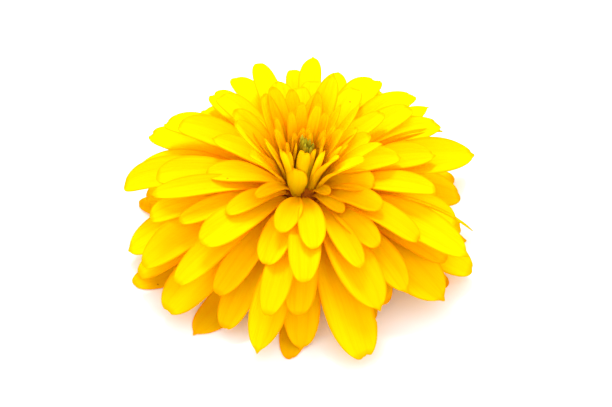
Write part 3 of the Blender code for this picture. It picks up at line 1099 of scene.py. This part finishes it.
class FLOWER_OT_calyx(Operator):
    """Adds the green cup with the cut end of the stem, and the bracts round it"""

    bl_idname = "flower.add_calyx"
    bl_label = "Add Calyx"

    def execute(self, context):
        colour = context.scene.flower_colours.green
        green = matt_material("bract_green", colour, scaled(colour, DARKER), *MATT_SKINS["bract"])
        cup = turned("calyx_cup", CALYX_PROFILE, green)
        cut_at_floor(cup)
        put_in_frame(cup, "calyx")
        piece = grow("bracts", seeds_mesh("bracts", BRACTS), petal_tree(), blade_inputs(context.scene, green))
        put_in_frame(piece, "calyx")
        return {"FINISHED"}


def cut_at_floor(piece):
    bm = bmesh.new()
    bm.from_mesh(piece.data)
    everything = bm.verts[:] + bm.edges[:] + bm.faces[:]
    cut = bmesh.ops.bisect_plane(
        bm, geom=everything, plane_co=(0, 0, 0), plane_no=(0, 0, 1), clear_inner=True
    )
    edges = [part for part in cut["geom_cut"] if isinstance(part, bmesh.types.BMEdge)]
    bmesh.ops.contextual_create(bm, geom=edges)
    bm.to_mesh(piece.data)
    bm.free()


class FLOWER_OT_stage(Operator):
    """Adds the pale floor, the soft light and the camera"""

    bl_idname = "flower.add_stage"
    bl_label = "Add Stage"

    def execute(self, context):
        stage = context.scene.flower_stage
        add_floor(stage.floor_side, context.scene.flower_colours.floor)
        add_light(context.scene, stage)
        add_camera(context.scene, stage)
        return {"FINISHED"}


def add_floor(side, colour):
    bm = bmesh.new()
    bmesh.ops.create_grid(bm, x_segments=1, y_segments=1, size=side / 2)
    floor = link("floor", mesh_from(bm, "floor"))
    material, _, shader = new_material("floor_white")
    shader.inputs["Base Color"].default_value = (*colour, 1.0)
    shader.inputs["Roughness"].default_value = FLOOR_ROUGHNESS
    shader.inputs["Specular IOR Level"].default_value = FLOOR_SPECULAR
    floor.data.materials.append(material)


def add_light(scene, stage):
    data = bpy.data.lights.new("overhead_lamp", "AREA")
    data.shape = "SQUARE"
    data.size = stage.lamp_side
    data.energy = stage.lamp_power
    lamp = bpy.data.objects.new("overhead_lamp", data)
    lamp.location = stage.lamp_place
    lamp.rotation_euler = (-Vector(stage.lamp_place)).to_track_quat("-Z", "Y").to_euler()
    scene.collection.objects.link(lamp)
    world = bpy.data.worlds.new("soft_white")
    world.use_nodes = True
    background = world.node_tree.nodes["Background"]
    background.inputs["Color"].default_value = (1.0, 1.0, 1.0, 1.0)
    background.inputs["Strength"].default_value = stage.sky
    scene.world = world
    scene.view_settings.view_transform = "Standard"


def add_camera(scene, stage):
    data = bpy.data.cameras.new("camera")
    data.lens = stage.lens
    data.sensor_width = SENSOR_WIDTH
    data.clip_start = NEAREST_SEEN
    camera = bpy.data.objects.new("camera", data)
    back = Vector((0.0, -math.cos(stage.elevation), math.sin(stage.elevation)))
    camera.location = Vector(stage.target) + back * stage.distance
    camera.rotation_euler = (math.pi / 2 - stage.elevation, 0.0, 0.0)
    scene.collection.objects.link(camera)
    scene.camera = camera


class FLOWER_PT_panel(Panel):
    """The flower's pieces and their settings"""

    bl_label = "Chrysanthemum"
    bl_idname = "FLOWER_PT_panel"
    bl_space_type = "VIEW_3D"
    bl_region_type = "UI"
    bl_category = "Flower"

    def draw(self, context):
        for operator in OPERATORS:
            self.layout.operator(operator.bl_idname)
        for group in GROUPS:
            settings = getattr(context.scene, group)
            box = self.layout.box()
            for name in settings.bl_rna.properties.keys():
                if name not in ("rna_type", "name"):
                    box.prop(settings, name)


OPERATORS = (FLOWER_OT_petals, FLOWER_OT_receptacle, FLOWER_OT_buds, FLOWER_OT_calyx, FLOWER_OT_stage)
GROUPS = {
    "flower_petals": PetalSettings,
    "flower_buds": BudSettings,
    "flower_colours": ColourSettings,
    "flower_stage": StageSettings,
}


def register():
    for cls in (*GROUPS.values(), *OPERATORS, FLOWER_PT_panel):
        bpy.utils.register_class(cls)
    for name, group in GROUPS.items():
        setattr(bpy.types.Scene, name, PointerProperty(type=group))


def unregister():
    for name in GROUPS:
        delattr(bpy.types.Scene, name)
    for cls in (FLOWER_PT_panel, *reversed(OPERATORS), *reversed(GROUPS.values())):
        bpy.utils.unregister_class(cls)


def main():
    register()
    bpy.ops.flower.add_stage()
    bpy.ops.flower.add_petals()
    bpy.ops.flower.add_receptacle()
    bpy.ops.flower.add_buds()
    bpy.ops.flower.add_calyx()


if __name__ == "__main__":
    main()
